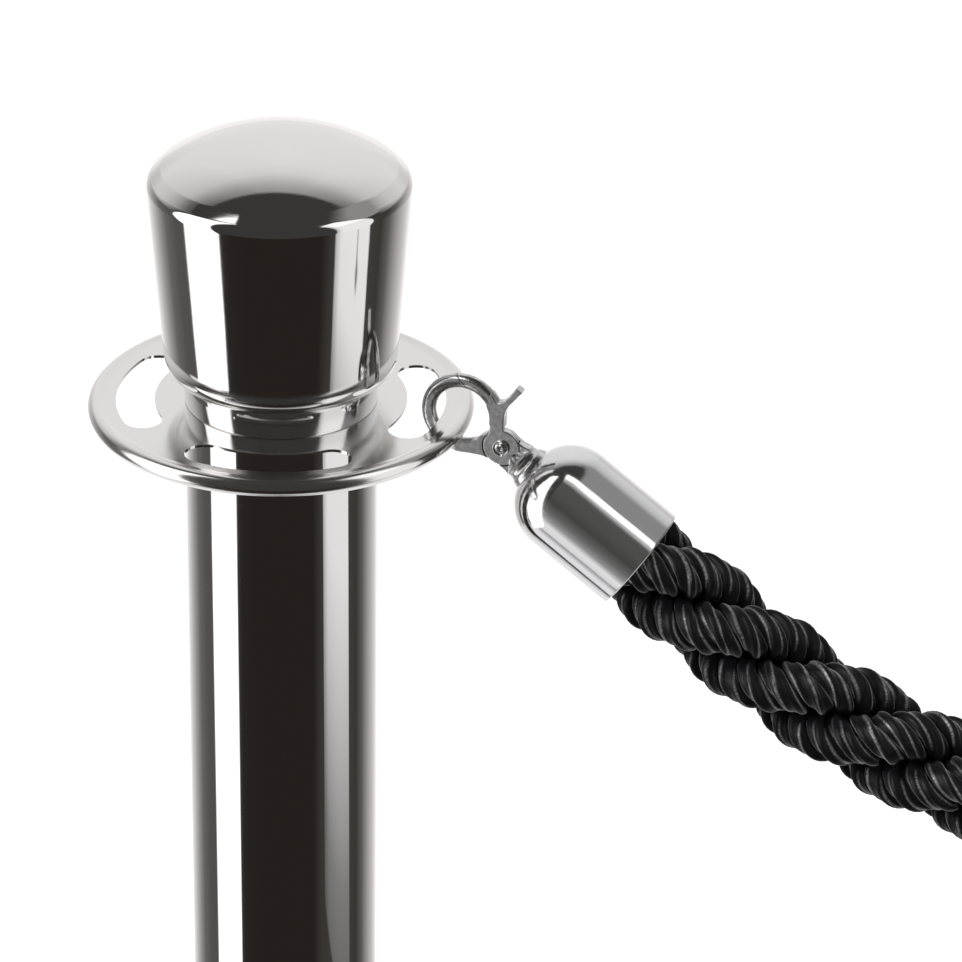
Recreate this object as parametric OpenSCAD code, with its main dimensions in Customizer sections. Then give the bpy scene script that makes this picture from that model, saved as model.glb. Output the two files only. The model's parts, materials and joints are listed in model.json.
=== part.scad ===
// Rope barrier stanchion: a polished stainless post on a weighted round base,
// with a slotted rope ring, a crown, and one end of a barrier rope clipped on.
// Millimetres. +Z is up and the origin is the middle of the base on the floor.

/* [Base] */
// Outer diameter of the base cover
base_d = 320; // [280:5:360]
// Height of the base cover at its upright edge, above the floor
base_edge_h = 14; // [12:1:20]
// Height of the base cover where it meets the post
base_mid_h = 34; // [30:1:45]
// Sheet thickness of the base cover
cover_t = 1; // [0.8:0.1:1.5]
// Thickness of the rubber floor ring
floor_ring_h = 4; // [3:0.5:6]
// Thickness of the cast weight
weight_h = 22; // [18:1:24]

/* [Post] */
// Outer diameter of the post tube
post_d = 50.8; // [48:0.2:54]
// Wall of the post tube
post_wall = 1.5; // [1.2:0.1:3]
// Height of the top of the rope ring above the floor
ring_z = 925; // [800:1:950]

/* [Rope ring] */
// Outer diameter of the rope ring
ring_d = 101.6; // [96:0.2:110]
// Sheet thickness of the rope ring
ring_t = 0.8; // [0.6:0.1:1.2]
// Outer radius of the curled rim
rim_r = 2.5; // [2:0.1:3]
// Height of the curled rim above the flat of the rope ring
rim_rise = 0.7; // [0.4:0.1:1]
// Inner radius of the four rope slots
slot_in_r = 33.2; // [32:0.1:35]
// Outer radius of the four rope slots
slot_out_r = 43.4; // [42:0.1:44]
// Half of the angle between the centres of the two slot ends
slot_half_angle = 25.5; // [20:0.5:30]

/* [Crown] */
// Largest diameter of the crown
crown_d = 68.6; // [64:0.2:74]
// Diameter of the crown at its foot
crown_foot_d = 61.4; // [58:0.2:63]
// Height of the top of the dome above the rope ring
crown_top_h = 75; // [73:0.2:78]
// Height of the crown's widest place above the rope ring
crown_wide_h = 61; // [58:0.2:62]
// Radius of the domed top
dome_r = 56; // [50:1:60]
// Wall of the crown shell
crown_wall = 1.5; // [1.2:0.1:2]
// Height of the neck between the rope ring and the crown
neck_h = 7.6; // [6:0.2:10]

/* [Hook] */
// Diameter of the hole in the closed hook
hook_hole_d = 14.8; // [14.8:0.1:16]
// Width of the bar that forms the hook
bar_w = 3.8; // [3.6:0.1:4.2]
// Thickness of the hook
bar_t = 3.2; // [3:0.1:3.6]
// Distance from the hook's centre to its rivet
pivot_x = 13.5; // [13.3:0.1:14]
// Radius of the round boss around the rivet
boss_r = 4.8; // [4.6:0.1:4.9]
// Length of the thumb lever beyond the bar
lever_len = 7; // [6:0.5:9]

/* [Rope cap] */
// Outer diameter of the bell-shaped cap
cap_d = 29; // [28.6:0.2:30]
// Wall of the cap
cap_wall = 1; // [0.8:0.1:1.2]
// Length of the cap along its axis
cap_len = 37.7; // [36:0.1:44]
// Radius of the cap's rounded shoulder
cap_shoulder_r = 12.8; // [12.5:0.1:13.5]

/* [Rope] */
// Diameter of the twisted rope
rope_d = 29.6; // [28:0.2:30]
// Azimuth of the upright plane in which the rope hangs
rope_azimuth = -15.4; // [-18:0.1:-12]
// Slope of the rope at the post, below level
near_dip = 34.6; // [33:0.1:36]

/* [Hidden] */
$fn = 96;

post_r = post_d / 2;
bore_r = post_r - post_wall;
ring_r = ring_d / 2;
fit = 0.05;

// Base: radii and levels worked out from the cover
weight_r = base_d / 2 - 8;
weight_z = floor_ring_h;
cover_r = base_d / 2;
collar_r = post_r + 16;
collar_h = 9;
tube_z = 24;
bolt_r = 6;
bolt_head_z = weight_z + 3;
bolt_head_h = 5;
bolt_len = 38;
lock_z = bolt_head_z + bolt_head_h;
lock_h = 1;
washer_z = lock_z + lock_h;
washer_h = 1;
weight_pocket_r = 20;

// Head: plugs and stud
plug_h = 18;
stud_r = 5;
stud_z = ring_z - 22;
stud_hole_r = stud_r + 0.5;
insert_h = 6;

// Hook, along its own x axis from the middle of its hole towards the rope
hole_r = hook_hole_d / 2;
bar_mid_r = hole_r + bar_w / 2;
plate_gap = 0.1;
plate_t = bar_t / 2 - plate_gap;
joint_angle = 123;
fixed_jaw_end = 322;
rivet_r = 1.25;
rivet_head_r = 2.1;
recess_r = boss_r + 0.5;
flange_x = 18.5;
flange_t = 1.4;
flange_r = 5;
collar_x = flange_x + flange_t + 0.15;
collar_flare_r = 6;
shank_r = 2;
shank_head_r = 3;
spring_r = 2.75;
spring_wire_r = 0.15;
spring_pitch = 0.32;
pocket_depth = 1;

// Cap, on the same axis
cap_r = cap_d / 2;
cap_x = 22.4;
shank_washer_x = cap_x + 1.6;
shank_washer_t = 1;
shank_head_x = shank_washer_x + shank_washer_t + fit;
shank_head_t = 1.4;
cap_end_x = cap_x + cap_len;

// Rope: the middle of the hooks' holes, and the route of the rope's centre line in its
// upright plane, as [distance along the plane, height], counted from the near hook
near_hook_at = [48.5, -10.3, ring_z + 2.4];
rope_route = [
    [29, -20], [36, -24.8], [43, -29.7], [49.5, -34.2], [56, -38.8], [63, -43.8], [71, -49.4],
    [79.5, -55.1], [89, -61], [99, -66.7], [110, -72.2], [122, -77.3], [134, -81.6], [146, -85.2],
    [157, -88], [167, -90.2], [176, -92], [183, -93.4], [190, -94.8], [198, -96.4]
];
far_dip = -11.3;
far_hook_along = 234.9;
far_hook_up = -103.8;
rope_sides = 12;
rope_r = rope_d / 2;
rope_neck_r = cap_r - cap_wall + 0.2;
near_mouth_ring = 3;
far_mouth_ring = 16;

steel = [0.78, 0.78, 0.79];
plated = [0.72, 0.72, 0.74];
zinc = [0.6, 0.6, 0.62];
iron = [0.22, 0.22, 0.23];

// ---------- shared shapes ----------

// Points of an arc round a centre, from one angle to another
function arc(cx, cy, r, from, to, steps) =
    [for (i = [0:steps]) let (a = from + (to - from) * i / steps) [cx + r * cos(a), cy + r * sin(a)]];

// A ring with square edges, its lower face at z
module washer(inner, outer, z, h) {
    translate([0, 0, z]) difference() {
        cylinder(r = outer, h = h);
        translate([0, 0, -1]) cylinder(r = inner, h = h + 2);
    }
}

// Puts a rope end's pieces, drawn along +X with the hook face up, in their place
module rope_end(at, azimuth, dip) {
    translate(at) rotate([0, 0, azimuth]) rotate([0, dip, 0]) rotate([90, 0, 0]) children();
}

// A solid of revolution about the rope end's x axis, from [x, radius] points
module turned(points) {
    rotate([0, 90, 0]) rotate_extrude() polygon([for (p = points) [p[1], p[0]]]);
}

// ---------- base ----------

// Rubber ring with a step that carries the weight and the edge of the cover
module floor_ring() {
    color([0.08, 0.08, 0.08]) rotate_extrude() polygon([
        [weight_r - 16, 0], [cover_r - 2, 0], [cover_r - 0.5, 1.5], [cover_r - 0.5, floor_ring_h - 0.5],
        [weight_r + 1, floor_ring_h - 0.5], [weight_r + 1, floor_ring_h], [weight_r - 16, floor_ring_h]
    ]);
}

// Cast iron disc, hollowed below for the bolt head
module base_weight() {
    top = weight_z + weight_h;
    color(iron) difference() {
        rotate_extrude() polygon([
            [0, weight_z], [weight_r, weight_z], [weight_r, base_edge_h - 6], [weight_r - 6, base_edge_h - 2],
            [70, top - 3], [42, top - 2], [0, top - 2]
        ]);
        translate([0, 0, weight_z - 1]) cylinder(r = bolt_r + 0.5, h = weight_h + 2);
        translate([0, 0, weight_z - 1]) cylinder(r = weight_pocket_r, h = washer_z + washer_h - weight_z + 1);
    }
}

// Spun stainless cover with a rolled edge and a raised middle
module base_cover() {
    outer = concat(
        [[cover_r, floor_ring_h]],
        arc(cover_r - 5, base_edge_h - 5, 5, 0, 72, 6),
        [for (i = [1:8]) let (t = i / 8, r = cover_r - 4 - (cover_r - 4 - post_r - 10) * t)
            [r, base_edge_h + (base_mid_h - base_edge_h) * (0.55 * t + 0.45 * t * t)]],
        [[post_r + 0.3, base_mid_h]]
    );
    last = len(outer) - 1;
    inner = [for (i = [last:-1:0])
        i == 0 ? [outer[i][0] - cover_t, outer[i][1]]
        : i > last - 9 ? [outer[i][0], outer[i][1] - cover_t]
        : [cover_r - 5 + (outer[i][0] - cover_r + 5) * (5 - cover_t) / 5,
           base_edge_h - 5 + (outer[i][1] - base_edge_h + 5) * (5 - cover_t) / 5]];
    color(steel) rotate_extrude() polygon(concat(outer, inner));
}

// Dress ring round the foot of the post
module base_collar() {
    z = base_mid_h + 0.05;
    color(steel) rotate_extrude() polygon(concat(
        [[post_r + 0.15, z], [collar_r, z]],
        arc(collar_r - 2, z + 2, 2, 0, 80, 4),
        arc(post_r + 5, z + collar_h - 4, 4, 60, 90, 3),
        [[post_r + 0.15, z + collar_h]]
    ));
}

// Hexagon bolt that pulls the post down on the weight
module base_bolt() {
    head_r = 10.4;
    color(zinc) union() {
        translate([0, 0, bolt_head_z]) cylinder(r = head_r, h = bolt_head_h, $fn = 6);
        translate([0, 0, lock_z - 0.5]) cylinder(r = bolt_r, h = bolt_len);
    }
}

// Flat washer between the spring washer and the weight
module base_washer() {
    color(zinc) washer(bolt_r + 0.3, 17, washer_z, washer_h);
}

// Split spring washer under the bolt head
module lock_washer() {
    color(zinc) difference() {
        washer(bolt_r + 0.3, 10, lock_z, lock_h);
        translate([0, -0.5, lock_z - 1]) cube([12, 1, lock_h + 2]);
    }
}

// ---------- post ----------

module post_tube() {
    color(steel) washer(bore_r, post_r, tube_z, ring_z - ring_t - tube_z);
}

// Threaded plug in the foot of the tube
module bottom_plug() {
    color(zinc) washer(bolt_r + fit, bore_r, tube_z, 30);
}

// Threaded plug in the head of the tube
module top_plug() {
    color(zinc) washer(stud_r + fit, bore_r, ring_z - ring_t - plug_h, plug_h);
}

// ---------- rope ring ----------

// Cutter for one kidney-shaped slot on +X
module slot_cutter() {
    end_r = (slot_out_r - slot_in_r) / 2;
    depth = 4;
    translate([0, 0, -depth / 2]) {
        rotate(-slot_half_angle) rotate_extrude(angle = 2 * slot_half_angle)
            translate([slot_in_r, 0]) square([2 * end_r, depth]);
        for (a = [-slot_half_angle, slot_half_angle])
            rotate(a) translate([slot_in_r + end_r, 0, 0]) cylinder(r = end_r, h = depth);
    }
}

module rope_ring() {
    curl_x = ring_r - rim_r;
    curl_z = rim_rise - rim_r;
    profile = concat(
        [[stud_hole_r, 0], [curl_x - 2.4, 0], [curl_x - 1.2, rim_rise * 0.4]],
        arc(curl_x, curl_z, rim_r, 90, -70, 12),
        arc(curl_x, curl_z, rim_r - ring_t, -70, 90, 12),
        [[curl_x - 1.2, rim_rise * 0.4 - ring_t], [curl_x - 2.4, -ring_t], [stud_hole_r, -ring_t]]
    );
    color(steel) translate([0, 0, ring_z]) difference() {
        rotate_extrude() polygon(profile);
        for (a = [0:90:270]) rotate(a) slot_cutter();
    }
}

// ---------- crown ----------

module neck_collar() {
    color(steel) washer(post_r - 4, post_r, ring_z, neck_h);
}

// Threaded rod from the top plug through the rope ring into the crown
module crown_stud() {
    top_z = ring_z + neck_h + crown_wall + insert_h;
    color(zinc) translate([0, 0, stud_z]) cylinder(r = stud_r, h = top_z - stud_z);
}

// Threaded boss inside the foot of the crown
module crown_insert() {
    color(zinc) washer(stud_r + fit, 18, ring_z + neck_h + crown_wall, insert_h);
}

// Outline of the crown from its foot, up its tapered side and over the dome, grown
// inwards by the given amount
function crown_outline(inset) =
    let (foot_r = 6.2, edge_r = 3.4,
         foot_x = crown_foot_d / 2 - foot_r, foot_y = neck_h + foot_r,
         edge_x = crown_d / 2 - edge_r, edge_y = crown_wide_h,
         slope = atan2(crown_d / 2 - crown_foot_d / 2, edge_y - foot_y),
         dome_y = crown_top_h - dome_r,
         top_angle = acos((edge_x + 0.8) / dome_r))
    concat(
        arc(foot_x, foot_y, foot_r - inset, -90, -slope, 8),
        arc(edge_x, edge_y, edge_r - inset, -slope, top_angle - 4, 8),
        arc(0, dome_y, dome_r - inset, top_angle + 2.5, 90, 14)
    );

module crown_shell() {
    outer = crown_outline(0);
    inner = crown_outline(crown_wall);
    last = len(inner) - 1;
    color(steel) translate([0, 0, ring_z]) rotate_extrude() polygon(concat(
        [[stud_hole_r, neck_h]],
        outer,
        [for (i = [last:-1:0]) inner[i]],
        [[stud_hole_r, neck_h + crown_wall]]
    ));
}

// ---------- hook, drawn flat: x towards the rope, y towards the thumb lever, z to its face ----------

// A stretch of the hook's ring with softened edges
module ring_bar(from, to) {
    soft = 1;
    rotate(from) rotate_extrude(angle = to - from) translate([bar_mid_r, 0]) polygon([
        for (side = [[-1, -1], [1, -1], [1, 1], [-1, 1]], step = [0, 1])
            let (along_x = (side[0] * side[1] > 0) == (step == 0))
            [side[0] * (bar_w / 2 - (along_x ? 0 : soft)), side[1] * (bar_t / 2 - (along_x ? soft : 0))]
    ]);
}

// Flat outline of the fixed jaw between the ring and the swivel flange
module body_outline() {
    difference() {
        union() {
            hull() {
                translate([pivot_x, 0]) circle(r = boss_r);
                rotate(fixed_jaw_end - 360) translate([bar_mid_r, 0]) circle(r = bar_w / 2);
            }
            hull() {
                translate([pivot_x, 0]) circle(r = boss_r);
                translate([flange_x - 0.5, -flange_r]) square([0.6, 2 * flange_r]);
            }
        }
        circle(r = hole_r);
    }
}

// Fixed jaw: half as thick under the moving jaw's boss, with the swivel's flange and shank
module hook_body() {
    color(plated) difference() {
        union() {
            ring_bar(joint_angle + 1, fixed_jaw_end);
            difference() {
                translate([0, 0, -bar_t / 2]) linear_extrude(bar_t) body_outline();
                translate([pivot_x, 0, -plate_gap]) cylinder(r = recess_r, h = bar_t);
            }
            rotate([0, 90, 0]) {
                translate([0, 0, flange_x]) cylinder(r = flange_r, h = flange_t);
                translate([0, 0, flange_x]) cylinder(r = shank_r, h = shank_head_x + shank_head_t - flange_x);
                translate([0, 0, shank_head_x]) cylinder(r = shank_head_r, h = shank_head_t);
            }
        }
        translate([pivot_x, 0, -bar_t]) cylinder(r = rivet_r + fit, h = 2 * bar_t);
    }
}

// Flat outline of the moving jaw: boss and arm
module trigger_outline() {
    arm_foot = [pivot_x - 1.4, 1.7];
    arm_foot_r = 2.9;
    arm_end_angle = 50;
    arm_end_r = 2;
    difference() {
        union() {
            translate([pivot_x, 0]) circle(r = boss_r - 0.1);
            hull() {
                translate(arm_foot) circle(r = arm_foot_r);
                rotate(arm_end_angle) translate([bar_mid_r + 0.2, 0]) circle(r = arm_end_r);
            }
        }
        circle(r = hole_r);
    }
}

// Thumb lever, a flat tab that tapers to its tip
module lever() {
    lever_t = 2.8;
    root = [8.1, 8];
    root_r = 1.5;
    tip = [6.6, 9 + lever_len];
    tip_w = 1.9;
    tip_h = 0.8;
    translate([0, 0, -lever_t / 2]) linear_extrude(lever_t) hull() {
        translate(root) circle(r = root_r);
        translate(tip) square([tip_w, tip_h]);
    }
}

// Moving jaw: half as thick at its boss, where a pocket holds the spring
module hook_trigger() {
    full_from_y = 6;
    color(plated) difference() {
        union() {
            ring_bar(48, joint_angle - 1);
            translate([0, 0, plate_gap]) linear_extrude(plate_t) trigger_outline();
            intersection() {
                translate([0, 0, -bar_t / 2]) linear_extrude(bar_t) trigger_outline();
                translate([-20, full_from_y, -bar_t]) cube([40, 20, 2 * bar_t]);
            }
            lever();
        }
        translate([pivot_x, 0, -bar_t]) cylinder(r = rivet_r + fit, h = 2 * bar_t);
        translate([pivot_x, 0, plate_gap - 1]) cylinder(r = spring_r + 0.9, h = pocket_depth + 1);
    }
}

// Rivet with a head on each side and a dimple in its face
module hook_rivet() {
    head_t = 0.65;
    head_z = bar_t / 2 + fit;
    dimple_r = 0.9;
    color(steel) translate([pivot_x, 0, 0]) difference() {
        union() {
            translate([0, 0, -head_z]) cylinder(r = rivet_r, h = 2 * head_z);
            translate([0, 0, head_z]) cylinder(r = rivet_head_r, h = head_t);
            translate([0, 0, -head_z - head_t]) cylinder(r = rivet_head_r, h = head_t);
        }
        translate([0, 0, head_z + head_t / 2]) cylinder(r = dimple_r, h = head_t);
    }
}

// Two turns of torsion spring round the rivet, swept as a helix
module hook_spring() {
    turns = 2;
    steps = 36;
    sides = 8;
    points = [for (i = [0:steps], j = [0:sides - 1])
        let (a = turns * 360 * i / steps, b = 360 * j / sides, r = spring_r + spring_wire_r * cos(b))
        [r * cos(a), r * sin(a), spring_pitch * turns * i / steps + spring_wire_r * sin(b)]];
    faces = concat(
        [[for (j = [0:sides - 1]) j]],
        [[for (j = [sides - 1:-1:0]) steps * sides + j]],
        [for (i = [0:steps - 1], j = [0:sides - 1]) let (k = (j + 1) % sides)
            [i * sides + j, (i + 1) * sides + j, (i + 1) * sides + k]],
        [for (i = [0:steps - 1], j = [0:sides - 1]) let (k = (j + 1) % sides)
            [i * sides + j, (i + 1) * sides + k, i * sides + k]]
    );
    color(zinc) translate([pivot_x, 0, -plate_gap + spring_wire_r + 0.1]) polyhedron(points, faces);
}

module shank_washer() {
    color(zinc) rotate([0, 90, 0]) washer(shank_r + fit, 5, shank_washer_x, shank_washer_t);
}

// Distance along the axis at which the cap's dome has the given radius
function dome_x(r) =
    cap_x + cap_shoulder_r - sqrt(pow(cap_shoulder_r, 2) - pow(max(r - cap_r + cap_shoulder_r, 0), 2));

// Flared collar between the hook's flange and the cap, seated on the dome
module swivel_collar() {
    seat = [for (r = [collar_flare_r, 4, shank_r + fit]) [dome_x(r) - 0.05, r]];
    color(plated) turned(concat(
        [[collar_x, shank_r + fit], [collar_x, flange_r - 0.2], [collar_x + 0.7, flange_r - 0.3],
         [cap_x - 0.4, collar_flare_r - 0.1]],
        seat
    ));
}

// The cap's outer profile from the shank's hole round the dome to the mouth, grown
// inwards by the given amount
function cap_outline(inset) =
    let (r = cap_shoulder_r - inset, centre_r = cap_r - cap_shoulder_r,
         start = acos((shank_r + fit - centre_r) / r))
    concat(
        [for (p = arc(0, 0, r, start, 0, 12)) [cap_x + cap_shoulder_r - p[1], centre_r + p[0]]],
        [[cap_end_x, cap_r - inset]]
    );

module rope_cap() {
    outer = cap_outline(0);
    inner = cap_outline(cap_wall);
    last = len(inner) - 1;
    color(plated) turned(concat(outer, [for (i = [last:-1:0]) inner[i]]));
}

// ---------- rope ----------

// A route point in space
function route_point(p) =
    near_hook_at + [p[0] * cos(rope_azimuth), p[0] * sin(rope_azimuth), p[1]];

// Slope of the route at point i
function route_slope(i) =
    let (a = rope_route[max(i - 1, 0)], b = rope_route[min(i + 1, len(rope_route) - 1)])
    atan2(b[1] - a[1], b[0] - a[0]);

// The rope is squeezed where it is inside a cap
function ring_radius(i) =
    i == 0 ? rope_neck_r - 1
    : i <= near_mouth_ring || i >= far_mouth_ring ? rope_neck_r
    : i == near_mouth_ring + 1 || i == far_mouth_ring - 1 ? (rope_neck_r + rope_r) / 2 : rope_r;

module rope() {
    count = len(rope_route);
    points = [for (i = [0:count - 1], j = [0:rope_sides - 1])
        let (s = route_slope(i), b = 360 * j / rope_sides, r = ring_radius(i),
             across = r * cos(b) * [-sin(rope_azimuth), cos(rope_azimuth), 0],
             lift = r * sin(b) * [-sin(s), cos(s)])
        route_point(rope_route[i] + lift) + across];
    faces = concat(
        [[for (j = [0:rope_sides - 1]) j]],
        [[for (j = [rope_sides - 1:-1:0]) (count - 1) * rope_sides + j]],
        [for (i = [0:count - 2], j = [0:rope_sides - 1]) let (k = (j + 1) % rope_sides)
            [i * rope_sides + j, (i + 1) * rope_sides + j, (i + 1) * rope_sides + k]],
        [for (i = [0:count - 2], j = [0:rope_sides - 1]) let (k = (j + 1) % rope_sides)
            [i * rope_sides + j, (i + 1) * rope_sides + k, i * rope_sides + k]]
    );
    color([0.05, 0.05, 0.05]) polyhedron(points, faces);
}

// ---------- the two rope ends ----------

module near_end() {
    rope_end(near_hook_at, rope_azimuth, near_dip) children();
}

module far_end() {
    rope_end(route_point([far_hook_along, far_hook_up]), rope_azimuth + 180, far_dip) children();
}

floor_ring();
base_weight();
base_cover();
base_collar();
base_bolt();
base_washer();
lock_washer();
post_tube();
bottom_plug();
top_plug();
rope_ring();
neck_collar();
crown_stud();
crown_insert();
crown_shell();
near_end() hook_body();  // near_hook_body
near_end() hook_trigger();  // near_hook_trigger
near_end() hook_rivet();  // near_hook_rivet
near_end() hook_spring();  // near_hook_spring
near_end() shank_washer();  // near_shank_washer
near_end() swivel_collar();  // near_swivel_collar
near_end() rope_cap();  // near_rope_cap
rope();
far_end() hook_body();  // far_hook_body
far_end() hook_trigger();  // far_hook_trigger
far_end() hook_rivet();  // far_hook_rivet
far_end() hook_spring();  // far_hook_spring
far_end() shank_washer();  // far_shank_washer
far_end() swivel_collar();  // far_swivel_collar
far_end() rope_cap();  // far_rope_cap
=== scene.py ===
"""Looks of the rope barrier stanchion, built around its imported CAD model.

Blender's units are metres and +Z is up. Shapes are drawn in millimetres and scaled as they are placed.
"""

import json
import math

import bmesh
import bpy
import numpy as np
from mathutils import Matrix, Vector


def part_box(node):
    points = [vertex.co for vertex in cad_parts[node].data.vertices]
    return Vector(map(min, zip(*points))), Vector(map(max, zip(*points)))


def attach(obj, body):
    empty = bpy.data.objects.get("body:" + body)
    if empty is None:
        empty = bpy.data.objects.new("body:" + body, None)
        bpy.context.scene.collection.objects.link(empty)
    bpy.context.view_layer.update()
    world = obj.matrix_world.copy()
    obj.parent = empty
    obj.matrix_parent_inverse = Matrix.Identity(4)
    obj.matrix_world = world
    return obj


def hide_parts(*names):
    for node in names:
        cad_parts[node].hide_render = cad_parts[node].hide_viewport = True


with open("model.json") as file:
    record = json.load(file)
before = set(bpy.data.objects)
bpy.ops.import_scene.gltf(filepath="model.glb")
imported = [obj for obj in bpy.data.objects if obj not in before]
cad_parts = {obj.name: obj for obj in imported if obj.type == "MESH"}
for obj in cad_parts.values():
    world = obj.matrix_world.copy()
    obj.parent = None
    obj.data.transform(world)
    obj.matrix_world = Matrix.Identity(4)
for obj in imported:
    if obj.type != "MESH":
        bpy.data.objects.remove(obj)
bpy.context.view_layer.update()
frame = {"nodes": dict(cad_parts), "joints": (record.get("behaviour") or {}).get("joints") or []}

MM = 0.001
TO_METRES = Matrix.Scale(MM, 4)
JOINTS = {joint["name"]: joint for joint in frame["joints"]}
CAMERA_AZIMUTH = math.radians(3.011)

# ---------- sizes taken from the frame, in millimetres ----------


def node_low(node):
    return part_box(node)[0] / MM


def node_high(node):
    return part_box(node)[1] / MM


POST_R = node_high("post_tube").x
POST_FOOT_Z = node_low("post_tube").z
RING_Z = node_low("neck_collar").z
RING_R = node_high("rope_ring").x
RING_SHEET = RING_Z - node_high("post_tube").z
NECK_H = node_high("neck_collar").z - RING_Z
CROWN_R = node_high("crown_shell").x
CROWN_TOP = node_high("crown_shell").z - RING_Z
BASE_R = node_high("base_cover").x
BASE_TOP_Z = node_high("base_cover").z
FLOOR_RING_TOP_Z = node_low("base_cover").z
COLLAR_R = node_high("base_collar").x
COLLAR_TOP_Z = node_high("base_collar").z

# ---------- camera ----------


def make_camera():
    azimuth, elevation, roll = CAMERA_AZIMUTH, math.radians(27.472), math.radians(0.857)
    distance, right_shift, down_shift = 1.2293, 0.05254, 0.02234
    forward = Vector((-math.sin(azimuth) * math.cos(elevation), math.cos(azimuth) * math.cos(elevation),
                      -math.sin(elevation)))
    level_right = Vector((math.cos(azimuth), math.sin(azimuth), 0))
    level_up = level_right.cross(forward)
    right = level_right * math.cos(roll) + level_up * math.sin(roll)
    up = level_up * math.cos(roll) - level_right * math.sin(roll)
    target = Vector((0, 0, RING_Z * MM)) + right * right_shift - up * down_shift
    data = bpy.data.cameras.new("camera")
    data.lens = 174.9
    data.sensor_width = 36
    data.clip_start = 0.05
    data.clip_end = 100
    camera = bpy.data.objects.new("camera", data)
    axes = Matrix((right, up, -forward)).transposed()
    camera.matrix_world = Matrix.Translation(target - forward * distance) @ axes.to_4x4()
    bpy.context.scene.collection.objects.link(camera)
    bpy.context.scene.camera = camera


make_camera()

# ---------- mesh tools ----------


def add_object(name, mesh, material, matrix=TO_METRES):
    """An object at the origin whose mesh, drawn in millimetres, is moved to its place in metres."""
    mesh.transform(matrix)
    mesh.name = name
    mesh.materials.clear()
    mesh.materials.append(material)
    piece = bpy.data.objects.new(name, mesh)
    bpy.context.scene.collection.objects.link(piece)
    return piece


def settle(piece, body, slot, *nodes):
    """The piece rides on a body and stands for CAD nodes."""
    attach(piece, body)
    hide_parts(*nodes)
    return piece


def mesh_from(points, faces):
    mesh = bpy.data.meshes.new("mesh")
    mesh.from_pydata([tuple(p) for p in points], [], faces)
    return mesh


def smooth(mesh, sharp_degrees=40):
    mesh.polygons.foreach_set("use_smooth", [True] * len(mesh.polygons))
    mesh.set_sharp_from_angle(angle=math.radians(sharp_degrees))


def keep_flats_flat(piece):
    """Lets the large faces set the shading normals, so that flat faces mirror like flat ones."""
    modifier = piece.modifiers.new("normals", "WEIGHTED_NORMAL")
    modifier.keep_sharp = True
    return piece


def arc(centre, radius, start, end, steps):
    """Points of an arc, angles in degrees."""
    angles = np.radians(np.linspace(start, end, steps + 1))
    return [(centre[0] + radius * math.cos(a), centre[1] + radius * math.sin(a)) for a in angles]


def through(points, steps=6):
    """A smooth line through the points, as a Catmull-Rom spline."""
    ends = [points[0], *points, points[-1]]
    line = []
    for a, b, c, d in zip(ends, ends[1:], ends[2:], ends[3:]):
        a, b, c, d = (np.array(p, float) for p in (a, b, c, d))
        for t in np.linspace(0, 1, steps, endpoint=False):
            line.append(tuple(0.5 * (2 * b + (c - a) * t + (2 * a - 5 * b + 4 * c - d) * t**2
                                     + (3 * b - a - 3 * c + d) * t**3)))
    line.append(tuple(points[-1]))
    return line


def lathe(profile, segments=256, closed=True):
    """A solid of revolution about z from (radius, z) points. UV: u is the turn, v the profile length."""
    count = len(profile)
    angles = np.linspace(0, 2 * math.pi, segments, endpoint=False)
    points = [(r * math.cos(a), r * math.sin(a), z) for a in angles for r, z in profile]
    spans = count if closed else count - 1
    faces = []
    for i in range(segments):
        j = (i + 1) % segments
        for k in range(spans):
            m = (k + 1) % count
            faces.append((i * count + k, j * count + k, j * count + m, i * count + m))
    mesh = mesh_from(points, faces)
    steps = [math.dist(profile[k], profile[(k + 1) % count]) for k in range(spans)]
    along = np.concatenate([[0], np.cumsum(steps)])
    layer = mesh.uv_layers.new(name="turn")
    uvs = []
    for i in range(segments):
        for k in range(spans):
            for turn, step in ((i, k), (i + 1, k), (i + 1, k + 1), (i, k + 1)):
                uvs += [turn / segments, along[step]]
    layer.data.foreach_set("uv", uvs)
    work = bmesh.new()
    work.from_mesh(mesh)
    bmesh.ops.remove_doubles(work, verts=work.verts, dist=1e-5)
    bmesh.ops.dissolve_degenerate(work, edges=work.edges, dist=1e-6)
    bmesh.ops.recalc_face_normals(work, faces=work.faces)
    work.to_mesh(mesh)
    work.free()
    return mesh


SQUARE_EDGE = 0.001


def plate(outlines, low, high, edge, edge_steps=3):
    """A plate between two heights with rounded edges, from closed outlines; inner ones are holes."""
    data = bpy.data.curves.new("plate", "CURVE")
    data.dimensions = "2D"
    data.fill_mode = "BOTH"
    data.extrude = (high - low) / 2 - edge
    data.bevel_depth = edge
    data.bevel_resolution = edge_steps
    data.offset = -edge
    for outline in outlines:
        spline = data.splines.new("POLY")
        spline.points.add(len(outline) - 1)
        for point, (x, y) in zip(spline.points, outline):
            point.co = (x, y, 0, 1)
        spline.use_cyclic_u = True
    holder = bpy.data.objects.new("plate", data)
    bpy.context.scene.collection.objects.link(holder)
    bpy.context.view_layer.update()
    mesh = bpy.data.meshes.new_from_object(holder.evaluated_get(bpy.context.evaluated_depsgraph_get()))
    bpy.data.objects.remove(holder)
    work = bmesh.new()
    work.from_mesh(mesh)
    bmesh.ops.translate(work, verts=work.verts, vec=(0, 0, (low + high) / 2))
    bmesh.ops.remove_doubles(work, verts=work.verts, dist=1e-4)
    bmesh.ops.recalc_face_normals(work, faces=work.faces)
    work.to_mesh(mesh)
    work.free()
    return mesh


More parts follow.
